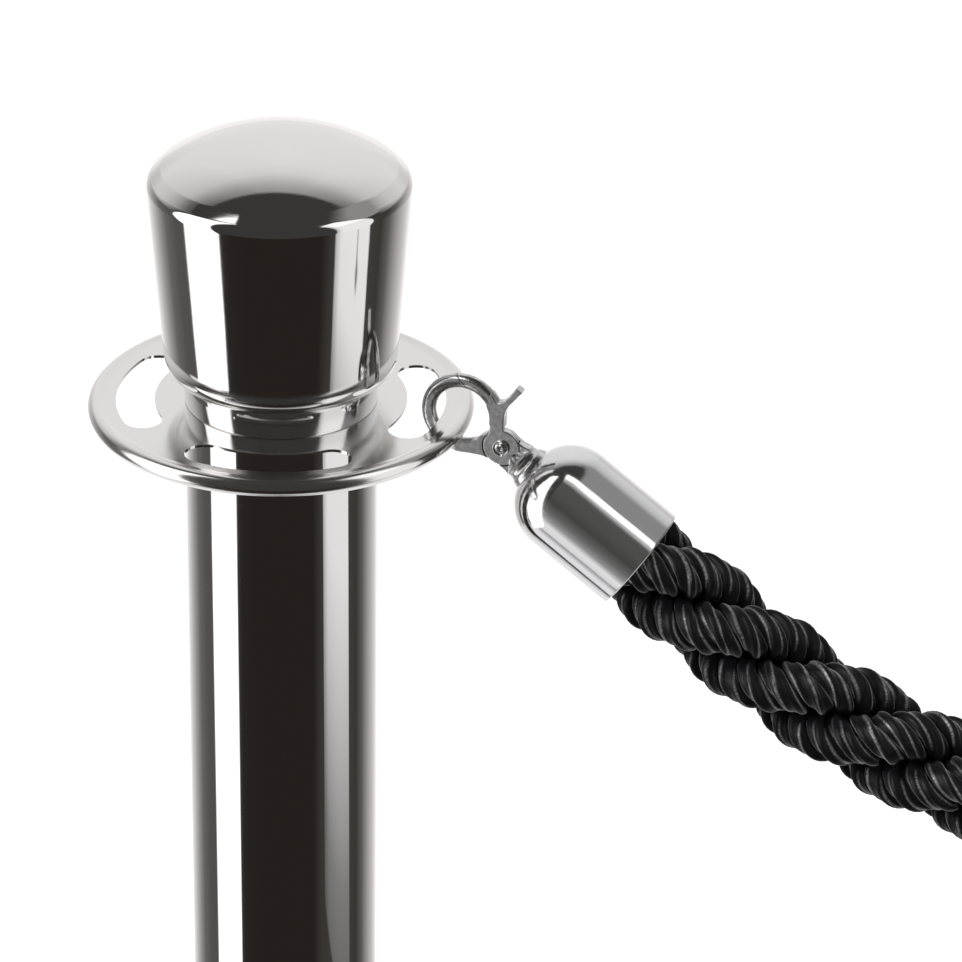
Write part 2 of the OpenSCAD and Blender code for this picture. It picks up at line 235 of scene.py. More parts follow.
def combine(mesh, others, operation):
    """The mesh joined with, or cut by, each of the others."""
    holder = bpy.data.objects.new("holder", mesh)
    bpy.context.scene.collection.objects.link(holder)
    tools = []
    for other in others:
        tool = bpy.data.objects.new("tool", other)
        bpy.context.scene.collection.objects.link(tool)
        modifier = holder.modifiers.new("combine", "BOOLEAN")
        modifier.operation = operation
        modifier.solver = "EXACT"
        modifier.object = tool
        tools.append(tool)
    bpy.context.view_layer.update()
    result = bpy.data.meshes.new_from_object(holder.evaluated_get(bpy.context.evaluated_depsgraph_get()))
    for used in [holder, *tools]:
        bpy.data.objects.remove(used)
    return result


def soften(mesh, width, sharper_than=50):
    """A narrow rounding on every edge sharper than the angle."""
    work = bmesh.new()
    work.from_mesh(mesh)
    bmesh.ops.remove_doubles(work, verts=work.verts, dist=1e-4)
    edges = [e for e in work.edges if e.is_manifold and e.calc_face_angle() > math.radians(sharper_than)]
    bmesh.ops.bevel(work, geom=edges, offset=width, segments=2, profile=0.6, affect="EDGES",
                    clamp_overlap=True)
    work.to_mesh(mesh)
    work.free()
    return mesh


# ---------- materials ----------


class Nodes:
    """A shader node tree, with the short ways that materials, panels and studio share."""

    def __init__(self, tree):
        self.nodes = tree.nodes
        self.links = tree.links

    def feed(self, socket, value):
        """Puts a number, a colour or another node's output into a socket."""
        if isinstance(value, (int, float)):
            socket.default_value = value
        elif isinstance(value, tuple):
            socket.default_value = (*value, 1)
        else:
            self.links.new(value, socket)

    def math(self, operation, *values):
        node = self.nodes.new("ShaderNodeMath")
        node.operation = operation
        for socket, value in zip(node.inputs, values):
            self.feed(socket, value)
        return node.outputs[0]

    def split(self, vector):
        """A vector's parts, by name."""
        node = self.nodes.new("ShaderNodeSeparateXYZ")
        self.links.new(vector, node.inputs[0])
        return node.outputs

    def ramp(self, value, stops):
        """A colour from a value. Stops are places from 0 to 1, each with a colour or a grey level."""
        node = self.nodes.new("ShaderNodeValToRGB")
        elements = node.color_ramp.elements
        while len(elements) < len(stops):
            elements.new(0.5)
        for element, (position, level) in zip(elements, stops):
            colour = level if isinstance(level, tuple) else (level, level, level)
            element.position = position
            element.color = (*colour, 1)
        self.links.new(value, node.inputs["Fac"])
        return node.outputs["Color"]


class Finish(Nodes):
    """A Principled material with short ways to add noise, bump and colour variation."""

    def __init__(self, name, colour, roughness, metallic=0.0, **sockets):
        self.material = bpy.data.materials.new(name)
        self.material.use_nodes = True
        super().__init__(self.material.node_tree)
        self.shader = self.nodes["Principled BSDF"]
        self.set("Base Color", (*colour, 1))
        self.set("Roughness", roughness)
        self.set("Metallic", metallic)
        for socket, value in sockets.items():
            self.set(socket.replace("_", " "), value)
        self.material.diffuse_color = (*colour, 1)
        self.last_bump = None

    def set(self, socket, value):
        self.shader.inputs[socket].default_value = value

    def place(self, source, scale):
        """Texture coordinates from object space or the mesh's own UVs, scaled per axis."""
        coordinates = self.nodes.new("ShaderNodeTexCoord")
        mapping = self.nodes.new("ShaderNodeMapping")
        mapping.inputs["Scale"].default_value = scale
        self.links.new(coordinates.outputs[source], mapping.inputs["Vector"])
        return mapping.outputs["Vector"]

    def noise(self, where, scale=1.0, detail=2.0, rough=0.5):
        node = self.nodes.new("ShaderNodeTexNoise")
        node.inputs["Scale"].default_value = scale
        node.inputs["Detail"].default_value = detail
        node.inputs["Roughness"].default_value = rough
        self.links.new(where, node.inputs["Vector"])
        return node.outputs["Fac"]

    def spread(self, value, low, high, to_low, to_high):
        """The value mapped from one range to another."""
        node = self.nodes.new("ShaderNodeMapRange")
        node.inputs["From Min"].default_value = low
        node.inputs["From Max"].default_value = high
        node.inputs["To Min"].default_value = to_low
        node.inputs["To Max"].default_value = to_high
        self.links.new(value, node.inputs["Value"])
        return node.outputs["Result"]

    def link(self, value, socket):
        self.links.new(value, self.shader.inputs[socket])

    def bump(self, height, distance, strength=1.0):
        """Adds a bump on top of those already there."""
        node = self.nodes.new("ShaderNodeBump")
        node.inputs["Strength"].default_value = strength
        node.inputs["Distance"].default_value = distance
        self.links.new(height, node.inputs["Height"])
        if self.last_bump is not None:
            self.links.new(self.last_bump, node.inputs["Normal"])
        self.last_bump = node.outputs["Normal"]
        self.links.new(self.last_bump, self.shader.inputs["Normal"])


def polished_steel(name, line_scale, roughness, wave):
    """Mirror-polished stainless: faint polishing lines, smudges, and a slow waviness of the surface."""
    finish = Finish(name, (0.80, 0.79, 0.78), roughness, metallic=1.0)
    lines = finish.noise(finish.place("UV", line_scale), scale=1.0, detail=3.0)
    smudges = finish.noise(finish.place("Object", (1, 1, 1)), scale=35, detail=4.0, rough=0.6)
    finish.link(finish.spread(smudges, 0.35, 0.75, roughness * 0.7, roughness * 1.7), "Roughness")
    slow = finish.noise(finish.place("Object", (1, 1, 1)), scale=26, detail=1.0)
    finish.bump(slow, wave)
    finish.bump(lines, 0.000004, 0.6)
    return finish.material


def chrome_plate(name, roughness, ripple, stain):
    """Bright plating on a die casting: a soft ripple of the casting below, dull stains and tiny pits."""
    finish = Finish(name, (0.74, 0.74, 0.75), roughness, metallic=1.0)
    cast = finish.noise(finish.place("Object", (1, 1, 1)), scale=420, detail=2.0)
    pits = finish.noise(finish.place("Object", (1, 1, 1)), scale=620, detail=3.0, rough=0.55)
    dull = 0.74 * (1 - stain)
    colour = finish.ramp(pits, [(0.35, (dull, dull, dull)), (0.65, (0.76, 0.76, 0.77))])
    finish.link(colour, "Base Color")
    finish.link(finish.spread(pits, 0.3, 0.8, roughness * 1.4, roughness * 0.8), "Roughness")
    finish.bump(cast, ripple)
    finish.bump(pits, ripple / 8)
    return finish.material


def cap_plate():
    """Drawn and plated steel: fine lines along the cap's length and faint pits."""
    finish = Finish("cap_plate", (0.76, 0.76, 0.77), 0.12, metallic=1.0)
    drawn = finish.noise(finish.place("UV", (38, 0.02, 1)), scale=1.0, detail=3.0, rough=0.6)
    pits = finish.noise(finish.place("Object", (1, 1, 1)), scale=700, detail=2.0)
    finish.link(finish.spread(drawn, 0.3, 0.75, 0.07, 0.17), "Roughness")
    finish.bump(drawn, 0.00004, 0.5)
    finish.bump(pits, 0.000008, 0.5)
    return finish.material


def zinc_steel():
    finish = Finish("zinc_steel", (0.62, 0.62, 0.63), 0.35, metallic=1.0)
    blotches = finish.noise(finish.place("Object", (1, 1, 1)), scale=160, detail=4.0, rough=0.6)
    colour = finish.ramp(blotches, [(0.35, (0.50, 0.50, 0.50)), (0.7, (0.66, 0.66, 0.64))])
    finish.link(colour, "Base Color")
    finish.link(finish.spread(blotches, 0.3, 0.7, 0.25, 0.5), "Roughness")
    finish.bump(blotches, 0.00004, 0.4)
    return finish.material


def cast_iron():
    finish = Finish("cast_weight", (0.045, 0.045, 0.047), 0.7)
    grains = finish.noise(finish.place("Object", (1, 1, 1)), scale=700, detail=4.0, rough=0.6)
    patches = finish.noise(finish.place("Object", (1, 1, 1)), scale=30, detail=3.0)
    colour = finish.ramp(patches, [(0.3, (0.035, 0.035, 0.037)), (0.75, (0.07, 0.062, 0.055))])
    finish.link(colour, "Base Color")
    finish.bump(grains, 0.0004, 0.7)
    return finish.material


def floor_rubber():
    finish = Finish("floor_rubber", (0.018, 0.018, 0.018), 0.65)
    grains = finish.noise(finish.place("Object", (1, 1, 1)), scale=1500, detail=2.0)
    dust = finish.noise(finish.place("Object", (1, 1, 1)), scale=90, detail=4.0)
    colour = finish.ramp(dust, [(0.4, (0.016, 0.016, 0.016)), (0.8, (0.035, 0.034, 0.033))])
    finish.link(colour, "Base Color")
    finish.bump(grains, 0.00012, 0.5)
    return finish.material


YARNS = 4


def black_rope():
    """Black satin yarn, glossier on its yarns' crests, with a painted highlight there in the base colour,
    and painted shade that takes the highlight and part of the gloss away towards the rope's grooves.

    UV: u counts turns round a cord and v runs along its yarns. In the layer "depth", u is the distance
    from the rope's middle.
    """
    finish = Finish("black_rope", (0.004, 0.004, 0.0045), 0.3, Specular_IOR_Level=0.12)
    fibres = finish.noise(finish.place("UV", (110, 0.5, 1)), scale=1.0, detail=3.0, rough=0.65)
    # This noise breaks the painted highlight on the crests into short lengths.
    sheen_breaks = finish.noise(finish.place("UV", (14, 3.5, 1)), scale=1.0, detail=2.0, rough=0.6)
    wander = finish.noise(finish.place("UV", (3, 0.15, 1)), scale=1.0, detail=1.0)
    yarn_turns = finish.split(finish.place("UV", (YARNS, 1, 1)))["X"]
    across = finish.math("ADD", yarn_turns, finish.math("MULTIPLY", wander, 0.35))
    crest = finish.math("ABSOLUTE", finish.math("SUBTRACT", finish.math("FRACT", across), 0.5))
    # Painted highlight: the base colour is lightened in a narrow line along each yarn's crest, and the gloss
    # is raised there.
    painted_sheen = finish.spread(crest, 0.37, 0.47, 0.0, 1.0)
    painted_sheen = finish.math("MULTIPLY", painted_sheen, finish.spread(sheen_breaks, 0.35, 0.65, 0.15, 1.0))
    # Painted shade: the painted highlight and part of the gloss fade out deeper in the rope, towards its
    # grooves. This uses the distance from the rope's middle: 1 outside, 0 deep in the grooves.
    depth_layer = finish.nodes.new("ShaderNodeUVMap")
    depth_layer.uv_map = "depth"
    painted_groove_shade = finish.spread(finish.split(depth_layer.outputs["UV"])["X"], 10.2, 13.4, 0.0, 1.0)
    painted_sheen = finish.math("MULTIPLY", painted_sheen, painted_groove_shade)
    colour = finish.ramp(painted_sheen, [(0.0, (0.0035, 0.0035, 0.004)), (1.0, (0.085, 0.083, 0.085))])
    finish.link(colour, "Base Color")
    gloss = finish.math("ADD", finish.math("MULTIPLY", painted_sheen, 0.8), finish.math("MULTIPLY", painted_groove_shade, 0.07))
    finish.link(gloss, "Specular IOR Level")
    finish.link(finish.spread(fibres, 0.3, 0.75, 0.22, 0.42), "Roughness")
    finish.bump(fibres, 0.00015, 0.6)
    return finish.material


TUBE_STEEL = polished_steel("post_steel", (60, 0.004, 1), 0.035, 0.0)
CROWN_STEEL = polished_steel("crown_steel", (2, 6, 1), 0.045, 0.00012)
RING_STEEL = polished_steel("ring_steel", (2, 5, 1), 0.15, 0.00002)
BASE_STEEL = polished_steel("base_steel", (2, 3, 1), 0.07, 0.00002)
HOOK_PLATE = chrome_plate("hook_plate", 0.20, 0.00008, 0.28)
CAP_PLATE = cap_plate()
ZINC = zinc_steel()
IRON = cast_iron()
RUBBER = floor_rubber()
ROPE = black_rope()

# ---------- the rope ----------

# Middle of the near hook's hole, and the route of the rope's centre line in its upright plane as
# [distance along the plane, height] from there, as in the CAD source
NEAR_HOOK_AT = Vector(JOINTS["near_hook_swing"]["pos_m"]) / MM
ROPE_AZIMUTH = math.radians(-15.4)
ROPE_ROUTE = [
    (29, -20), (36, -24.8), (43, -29.7), (49.5, -34.2), (56, -38.8), (63, -43.8), (71, -49.4),
    (79.5, -55.1), (89, -61), (99, -66.7), (110, -72.2), (122, -77.3), (134, -81.6), (146, -85.2),
    (157, -88), (167, -90.2), (176, -92), (183, -93.4), (190, -94.8), (198, -96.4)
]
# The route's points at which the rope leaves the two caps
NEAR_MOUTH, FAR_MOUTH = 3, 16


def route_in_space():
    ahead = Vector((math.cos(ROPE_AZIMUTH), math.sin(ROPE_AZIMUTH), 0))
    return [NEAR_HOOK_AT + ahead * x + Vector((0, 0, z)) for x, z in ROPE_ROUTE]


def unit(v):
    return v / np.linalg.norm(v, axis=-1, keepdims=True)


def yarn_bundle(angle, yarns, bundle_r, deepest):
    """Radius of a bundle of touching yarns at an angle. Its grooves go no deeper than a share of it."""
    half = math.pi / yarns
    yarn_r = bundle_r * math.sin(half) / (1 + math.sin(half))
    centre_r = bundle_r - yarn_r
    off = (angle + half) % (2 * half) - half
    reach = np.sqrt(np.maximum(yarn_r ** 2 - (centre_r * np.sin(off)) ** 2, 0))
    return np.maximum(centre_r * np.cos(off) + reach, deepest * bundle_r)


def make_rope():
    """Three strands laid left-handed, each of three cords laid right-handed, each cord of four yarns."""
    step, sides, cords, strands = 0.5, 48, 3, 3
    strand_lead, cord_lead, yarn_lead, strand_phase = 75.0, 16.5, 90.0, -0.84
    strand_r, cord_offset, cord_r, groove = 7.75, 4.2, 2.95, 0.78
    squeeze_inside, squeeze_start, squeeze_reach, squeeze_power = 0.86, 2, 9.0, 0.7
    steps_between, seed_step = 24, 7.3

    fine = np.array(through([tuple(p) for p in route_in_space()], steps_between))
    lengths = np.concatenate([[0], np.cumsum(np.linalg.norm(np.diff(fine, axis=0), axis=1))])
    s = np.linspace(0, lengths[-1], int(lengths[-1] / step) + 1)
    line = np.stack([np.interp(s, lengths, fine[:, i]) for i in range(3)], axis=1)
    mouths = [lengths[NEAR_MOUTH * steps_between], lengths[FAR_MOUTH * steps_between]]
    outside = np.minimum(s - mouths[0], mouths[1] - s)
    free = np.clip((outside + squeeze_start) / squeeze_reach, 0, 1) ** squeeze_power
    squeeze = squeeze_inside + (1 - squeeze_inside) * free

    tangent = unit(np.gradient(line, axis=0))
    side = np.array([math.sin(ROPE_AZIMUTH), -math.cos(ROPE_AZIMUTH), 0])
    up = unit(np.cross(side[None], tangent))
    up *= np.sign(up[:, 2:3])
    across = np.cross(tangent, up)
    theta = np.linspace(0, 2 * math.pi, sides, endpoint=False)
    points, faces, uvs, depths = [], [], [], []
    for strand in range(strands):
        turn = strand_phase - 2 * math.pi * s / strand_lead + 2 * math.pi * strand / strands
        out = up * np.cos(turn)[:, None] + across * np.sin(turn)[:, None]
        centre = line + out * (strand_r * squeeze)[:, None]
        along = unit(np.gradient(centre, axis=0))
        out = unit(out - along * np.sum(out * along, axis=1, keepdims=True))
        beside = np.cross(along, out)
        travelled = np.concatenate([[0], np.cumsum(np.linalg.norm(np.diff(centre, axis=0), axis=1))])
        for cord in range(cords):
            twist = 2 * math.pi * travelled / cord_lead + 2 * math.pi * cord / cords
            away = out * np.cos(twist)[:, None] + beside * np.sin(twist)[:, None]
            middle = centre + away * (cord_offset * squeeze)[:, None]
            ahead = unit(np.gradient(middle, axis=0))
            away = unit(away - ahead * np.sum(away * ahead, axis=1, keepdims=True))
            around = np.cross(ahead, away)
            run = np.concatenate([[0], np.cumsum(np.linalg.norm(np.diff(middle, axis=0), axis=1))])
            spin = 2 * math.pi * run / yarn_lead
            radius = yarn_bundle(theta[None] - spin[:, None], YARNS, cord_r, groove) * squeeze[:, None]
            spokes = (np.cos(theta)[None, :, None] * away[:, None]
                      + np.sin(theta)[None, :, None] * around[:, None])
            ring = middle[:, None] + radius[..., None] * spokes
            first = len(points)
            points += list(ring.reshape(-1, 3))
            depth = np.linalg.norm(ring - line[:, None], axis=2) / squeeze[:, None]
            seed = (strand * cords + cord) * seed_step
            for i in range(len(s) - 1):
                for j in range(sides):
                    k = (j + 1) % sides
                    a, b = first + i * sides, first + (i + 1) * sides
                    faces.append((a + j, a + k, b + k, b + j))
                    for row, column in ((i, j), (i, j + 1), (i + 1, j + 1), (i + 1, j)):
                        uvs += [column / sides - spin[row] / (2 * math.pi) + seed, run[row]]
                        depths += [depth[row, column % sides], 0.0]
            for i, order in ((0, range(sides - 1, -1, -1)), (len(s) - 1, range(sides))):
                faces.append(tuple(first + i * sides + j for j in order))
                uvs += [0.0, 0.0] * sides
                depths += [0.0, 0.0] * sides
    mesh = mesh_from(points, faces)
    mesh.uv_layers.new(name="yarn").data.foreach_set("uv", uvs)
    mesh.uv_layers.new(name="depth").data.foreach_set("uv", depths)
    mesh.uv_layers.active_index = 0
    smooth(mesh, 80)
    return mesh


rope = settle(add_object("twisted_rope", make_rope(), ROPE), "rope_set", "black_rope", "rope")

# ---------- post, ring, crown and base ----------


def crown_outline(inset):
    foot_d, foot_round, edge_round, widest, dome_r = 61.4, 6.2, 3.4, 61.0, 56.0
    foot = (foot_d / 2 - foot_round, NECK_H + foot_round)
    edge = (CROWN_R - edge_round, widest)
    slope = math.degrees(math.atan2(CROWN_R - foot_d / 2, edge[1] - foot[1]))
    top_angle = math.degrees(math.acos((edge[0] + 0.8) / dome_r))
    return (arc(foot, foot_round - inset, -90, -slope, 20)
            + arc(edge, edge_round - inset, -slope, top_angle - 1, 20)
            + arc((0, CROWN_TOP - dome_r), dome_r - inset, top_angle + 1, 90, 60))


def lift(outline, z):
    return [(r, y + z) for r, y in outline]


def make_crown():
    wall, stud_hole = 1.5, 5.5
    outline = ([(stud_hole, NECK_H)] + crown_outline(0) + crown_outline(wall)[::-1]
               + [(stud_hole, NECK_H + wall)])
    mesh = lathe(lift(outline, RING_Z))
    smooth(mesh)
    piece = add_object("crown", mesh, CROWN_STEEL)
    settle(piece, "stanchion", "polished_steel", "crown_shell")


def straight(a, b, steps):
    return [(a[0] + (b[0] - a[0]) * i / steps, a[1] + (b[1] - a[1]) * i / steps) for i in range(steps + 1)]


def make_tube():
    wall, soft, top = 1.5, 0.3, RING_Z - RING_SHEET
    outline = ([(POST_R - wall, POST_FOOT_Z), (POST_R - soft, POST_FOOT_Z)]
               + straight((POST_R, POST_FOOT_Z + soft), (POST_R, top - soft), 12)
               + [(POST_R - soft, top), (POST_R - wall, top)])
    mesh = lathe(outline)
    smooth(mesh)
    settle(add_object("post", mesh, TUBE_STEEL), "stanchion", "polished_steel", "post_tube")


def make_neck():
    wall, soft = 4.0, 0.35
    top = RING_Z + NECK_H
    outline = ([(POST_R - wall, RING_Z)] + arc((POST_R - soft, RING_Z + soft), soft, -90, 0, 4)
               + arc((POST_R - soft, top - soft), soft, 0, 90, 4) + [(POST_R - wall, top)])
    mesh = lathe(outline)
    smooth(mesh)
    settle(add_object("neck", mesh, CROWN_STEEL), "stanchion", "polished_steel", "neck_collar")


def slot_outline(middle_degrees, steps=48):
    """A kidney between two radii, round at both ends."""
    inner, outer, half = 33.2, 43.4, 25.5
    end_r = (outer - inner) / 2
    turn = middle_degrees

    def end_centre(angle):
        a = math.radians(angle)
        return ((inner + end_r) * math.cos(a), (inner + end_r) * math.sin(a))

    return (arc((0, 0), outer, turn - half, turn + half, steps)
            + arc(end_centre(turn + half), end_r, turn + half, turn + half + 180, 24)[1:-1]
            + arc((0, 0), inner, turn + half, turn - half, steps)
            + arc(end_centre(turn - half), end_r, turn - half + 180, turn - half + 360, 24)[1:-1])


def make_ring():
    curl_r, rise, hole, slots, cutter_reach = 2.5, 0.7, 5.5, 4, 3
    curl = (RING_R - curl_r, rise - curl_r)
    join_r = curl[0] - 2.4
    top = through([(join_r, 0), (curl[0] - 1.2, rise * 0.4), (curl[0], rise)], 5)[:-1]
    outline = ([(hole, 0)] + top + arc(curl, curl_r, 90, -70, 24)
               + arc(curl, curl_r - RING_SHEET, -70, 90, 16)
               + [(x, y - RING_SHEET) for x, y in reversed(top)] + [(hole, -RING_SHEET)])
    mesh = lathe(outline, 288)
    cutters = [plate([slot_outline(i * 360 / slots)], -cutter_reach, cutter_reach, SQUARE_EDGE, 0)
               for i in range(slots)]
    mesh = combine(mesh, cutters, "DIFFERENCE")
    soften(mesh, 0.16, 70)
    smooth(mesh, 35)
    mesh.transform(Matrix.Translation((0, 0, RING_Z)))
    piece = keep_flats_flat(add_object("slotted_ring", mesh, RING_STEEL))
    settle(piece, "stanchion", "polished_steel", "rope_ring")


def make_base():
    sheet, edge_round, edge_top = 1.0, 5.0, 14.0

    def outline_of(inset):
        edge = (BASE_R - edge_round, edge_top - edge_round)
        rise = BASE_TOP_Z - edge_top
        inner_r, outer_r = POST_R + 10, BASE_R - 4
        slope = [(outer_r - (outer_r - inner_r) * t, edge_top + rise * (0.55 * t + 0.45 * t * t) - inset)
                 for t in np.linspace(0.02, 1, 40)]
        return ([(BASE_R - inset, FLOOR_RING_TOP_Z)] + arc(edge, edge_round - inset, 0, 66, 14)
                + slope + [(POST_R + 0.3, BASE_TOP_Z - inset)])

    mesh = lathe(outline_of(0) + outline_of(sheet)[::-1])
    smooth(mesh)
    settle(add_object("base_dome", mesh, BASE_STEEL), "stanchion", "polished_steel", "base_cover")


def make_foot_collar():
    foot_z, gap, foot_round, lip_round = BASE_TOP_Z + 0.05, 0.15, 2, 1.2
    bell = [(COLLAR_R - 3.5, foot_z + 4.3), (POST_R + 8.5, foot_z + 6.2), (POST_R + 5, COLLAR_TOP_Z - 0.6)]
    outline = ([(POST_R + gap, foot_z), (COLLAR_R - 0.3, foot_z)]
               + arc((COLLAR_R - foot_round, foot_z + foot_round), foot_round, -10, 78, 10)
               + through(bell, 8)
               + arc((POST_R + 1.6, COLLAR_TOP_Z - lip_round), lip_round, 60, 100, 6)
               + [(POST_R + gap, COLLAR_TOP_Z - 0.3)])
    mesh = lathe(outline)
    smooth(mesh)
    settle(add_object("foot_collar", mesh, CROWN_STEEL), "stanchion", "polished_steel", "base_collar")


def make_rubber_foot():
    inner_r, lip_r, top = BASE_R - 24, BASE_R - 7, FLOOR_RING_TOP_Z
    rib_count, rib_pitch, rib_depth = 5, 3, 0.5
    ribs = []
    for i in range(rib_count):
        r = inner_r + 4 + i * rib_pitch
        ribs += [(r - 0.8, 0), (r - 0.5, rib_depth), (r + 0.5, rib_depth), (r + 0.8, 0)]
    outline = ([(inner_r, 0)] + ribs
               + [(BASE_R - 2, 0), (BASE_R - 0.8, 0.6), (BASE_R - 0.5, 1.6), (BASE_R - 0.5, top - 0.5),
                  (lip_r, top - 0.5), (lip_r, top), (inner_r, top)])
    mesh = lathe(outline)
    smooth(mesh)
    settle(add_object("rubber_foot", mesh, RUBBER), "stanchion", "floor_rubber", "floor_ring")


make_crown()
make_tube()
make_neck()
make_ring()
make_base()
make_foot_collar()
make_rubber_foot()

# ---------- the two rope ends: hook, swivel collar and cap ----------

# Drawn in millimetres with x from the hook's hole towards the rope, y towards the thumb lever and
# z towards the hook's face
HOLE_R, BAR_W, BAR_T = 7.4, 3.8, 3.2
BAR_R = HOLE_R + BAR_W
PIVOT_X, BOSS_R, RECESS_R = 13.5, 5.0, 5.3
PLATE_GAP = 0.1
FLANGE_X, FLANGE_T, FLANGE_R = 18.5, 1.4, 5.0
CAP_X, CAP_LENGTH = 22.4, 37.7


def end_place(end):
    """The matrix from a rope end's own millimetres to its place, worked out from its joints."""
    trigger = JOINTS[end + "_trigger_pivot"]
    x = Vector(JOINTS[end + "_swivel"]["axis"]).normalized()
    z = -Vector(trigger["axis"]).normalized()
    y = z.cross(x)
    turn = Matrix((x, y, z)).transposed().to_4x4()
    centre = Vector(trigger["pos_m"]) - x * PIVOT_X * MM
    return Matrix.Translation(centre) @ turn @ TO_METRES


def disc(centre, radius, low, high, edge):
    return plate([arc(centre, radius, 0, 360, 64)[:-1]], low, high, edge, 2)


def about_x(profile, segments=128):
    """A solid of revolution about x from (x, radius) points."""
    mesh = lathe([(r, x) for x, r in profile], segments)
    mesh.transform(Matrix.Rotation(math.radians(90), 4, "Y"))
    return mesh


def ring_bar(start, end, slant):
    """A stretch of the hook's round bar, closed at both ends. Its first end is slanted, in degrees."""
    steps, around = 72, 32
    points, faces = [], []
    for i in range(steps + 1):
        t = i / steps
        for j in range(around):
            b = 2 * math.pi * j / around
            across, rise = math.cos(b), math.sin(b)
            across = math.copysign(abs(across) ** 0.85, across)
            rise = math.copysign(abs(rise) ** 0.85, rise)
            a = math.radians(start + (end - start) * t + slant * across * max(0, 1 - 4 * t))
            r = HOLE_R + BAR_W / 2 * (1 + across)
            points.append((r * math.cos(a), r * math.sin(a), BAR_T / 2 * rise))
    for i in range(steps):
        for j in range(around):
            k = (j + 1) % around
            faces.append((i * around + j, i * around + k, (i + 1) * around + k, (i + 1) * around + j))
    faces.append(tuple(range(around - 1, -1, -1)))
    faces.append(tuple(steps * around + j for j in range(around)))
    mesh = mesh_from(points, faces)
    work = bmesh.new()
    work.from_mesh(mesh)
    bmesh.ops.recalc_face_normals(work, faces=work.faces)
    work.to_mesh(mesh)
    work.free()
    return mesh


def hook_body_mesh():
    thin, plate_end = 0.03, 19.3
    outline = (arc((0, 0), BAR_R - 0.3, -66, -50, 6)
               + through([(8.5, -7.3), (10.4, -6.1), (12.1, -5.3), (15.1, -4.75), (17.6, -4.7),
                          (plate_end, -FLANGE_R)], 5)
               + through([(plate_end, FLANGE_R), (17.6, 4.55), (15.6, 4.5), (14.3, 4.65), (13.1, 4.75)], 4)
               + arc((PIVOT_X, 0), 4.75, 100, 153, 10)
               + through([(8.3, 0.6), (7.45, -1.2), (7.1, -2.4)], 4)
               + arc((0, 0), HOLE_R + 0.3, -22, -66, 16))
    mesh = plate([outline], -BAR_T / 2 + thin, BAR_T / 2 - thin, 0.35, 3)
    recess = disc((PIVOT_X, 0), RECESS_R, -PLATE_GAP, BAR_T, SQUARE_EDGE)
    mesh = combine(mesh, [recess], "DIFFERENCE")
    flange_end, shank_r, shank_end = FLANGE_X + FLANGE_T, 2.0, 26.0
    flange = about_x([(16.4, 0.0), (16.4, 1.0), (18.6, 4.0), (19.25, FLANGE_R - 0.12), (19.4, FLANGE_R),
                      (flange_end, FLANGE_R), (flange_end, shank_r),
                      (shank_end, shank_r), (shank_end, 0.0)])
    mesh = combine(mesh, [flange, ring_bar(123.9, 326, 10)], "UNION")
    soften(mesh, 0.12)
    smooth(mesh, 35)
    return mesh


def hook_trigger_mesh():
    thin, tip = 0.02, 16.8
    outline = (arc((0, 0), BAR_R - 0.25, 78, 62, 6)
               + through([(5.9, 10.3), (6.35, 11.6), (6.5, 13.5), (6.5, tip)], 6)
               + through([(8.5, tip), (8.2, 13.2), (8.05, 10.4), (8.75, 8.0), (9.9, 6.1), (11.1, 4.35)], 6)
               + arc((PIVOT_X, 0), BOSS_R, 112, -168, 56)
               + through([(8.62, 0.4), (8.2, 1.6), (7.45, 2.9)], 5)
               + arc((0, 0), HOLE_R + 0.25, 25, 62, 20))
    mesh = plate([outline], -BAR_T / 2 + thin, BAR_T / 2 - thin, 0.3, 3)
    under = disc((PIVOT_X, 0), RECESS_R + 0.25, -BAR_T, PLATE_GAP, SQUARE_EDGE)
    mesh = combine(mesh, [under], "DIFFERENCE")
    mesh = combine(mesh, [ring_bar(122.1, 44, 10)], "UNION")
    soften(mesh, 0.12)
    smooth(mesh, 35)
    return mesh


def rivet_mesh():
    head_r, head_t, dimple_r, shaft_r = 2.35, 0.65, 0.9, 1.25
    face = BAR_T / 2 + 0.05
    head = ([(shaft_r, face), (head_r, face)] + arc((head_r - 0.35, face + 0.25), 0.35, 0, 80, 6)
            + arc((0, face + head_t - 3.4), 3.4, 60, 74, 3)
            + arc((0, face + head_t + 0.25), dimple_r, -18, -90, 8))
    back = ([(0, -face - head_t)] + arc((head_r - 0.4, -face - head_t + 0.4), 0.4, -85, 0, 6)
            + [(head_r, -face), (shaft_r, -face)])
    mesh = lathe(head[::-1] + back[::-1], 96)
    mesh.transform(Matrix.Translation((PIVOT_X, 0, 0)))
    smooth(mesh, 35)
    return mesh


def swivel_collar_mesh():
    start, bore = FLANGE_X + FLANGE_T + 0.15, 2.05
    outline = ([(start, bore), (start, FLANGE_R - 0.35)]
               + arc((start + 0.25, FLANGE_R - 0.3), 0.25, 180, 90, 4)
               + through([(start + 0.7, FLANGE_R), (start + 1.3, FLANGE_R + 0.25), (start + 1.9, 5.75),
                          (24.0, 6.4)], 6)
               + [(24.2, 6.2), (24.0, 4.6), (22.6, bore)])
    mesh = about_x(outline)
    smooth(mesh, 35)
    return mesh


def cap_mesh():
    cap_r, shoulder, wall, hole, lip = 14.5, 12.8, 1.0, 2.05, 0.45

    def outline_of(inset):
        r = shoulder - inset
        start = math.degrees(math.acos((hole - cap_r + shoulder) / r))
        turned = arc((0, 0), r, start, 0, 48)
        return [(CAP_X + shoulder - y, cap_r - shoulder + x) for x, y in turned]

    end = CAP_X + CAP_LENGTH
    mouth = (straight((CAP_X + shoulder + 1, cap_r), (end - 1.2, cap_r), 8)
             + arc((end - lip, cap_r - lip), lip, 90, 0, 6) + [(end, cap_r - wall)])
    mesh = about_x(outline_of(0) + mouth + outline_of(wall)[::-1], 192)
    smooth(mesh, 35)
    return mesh


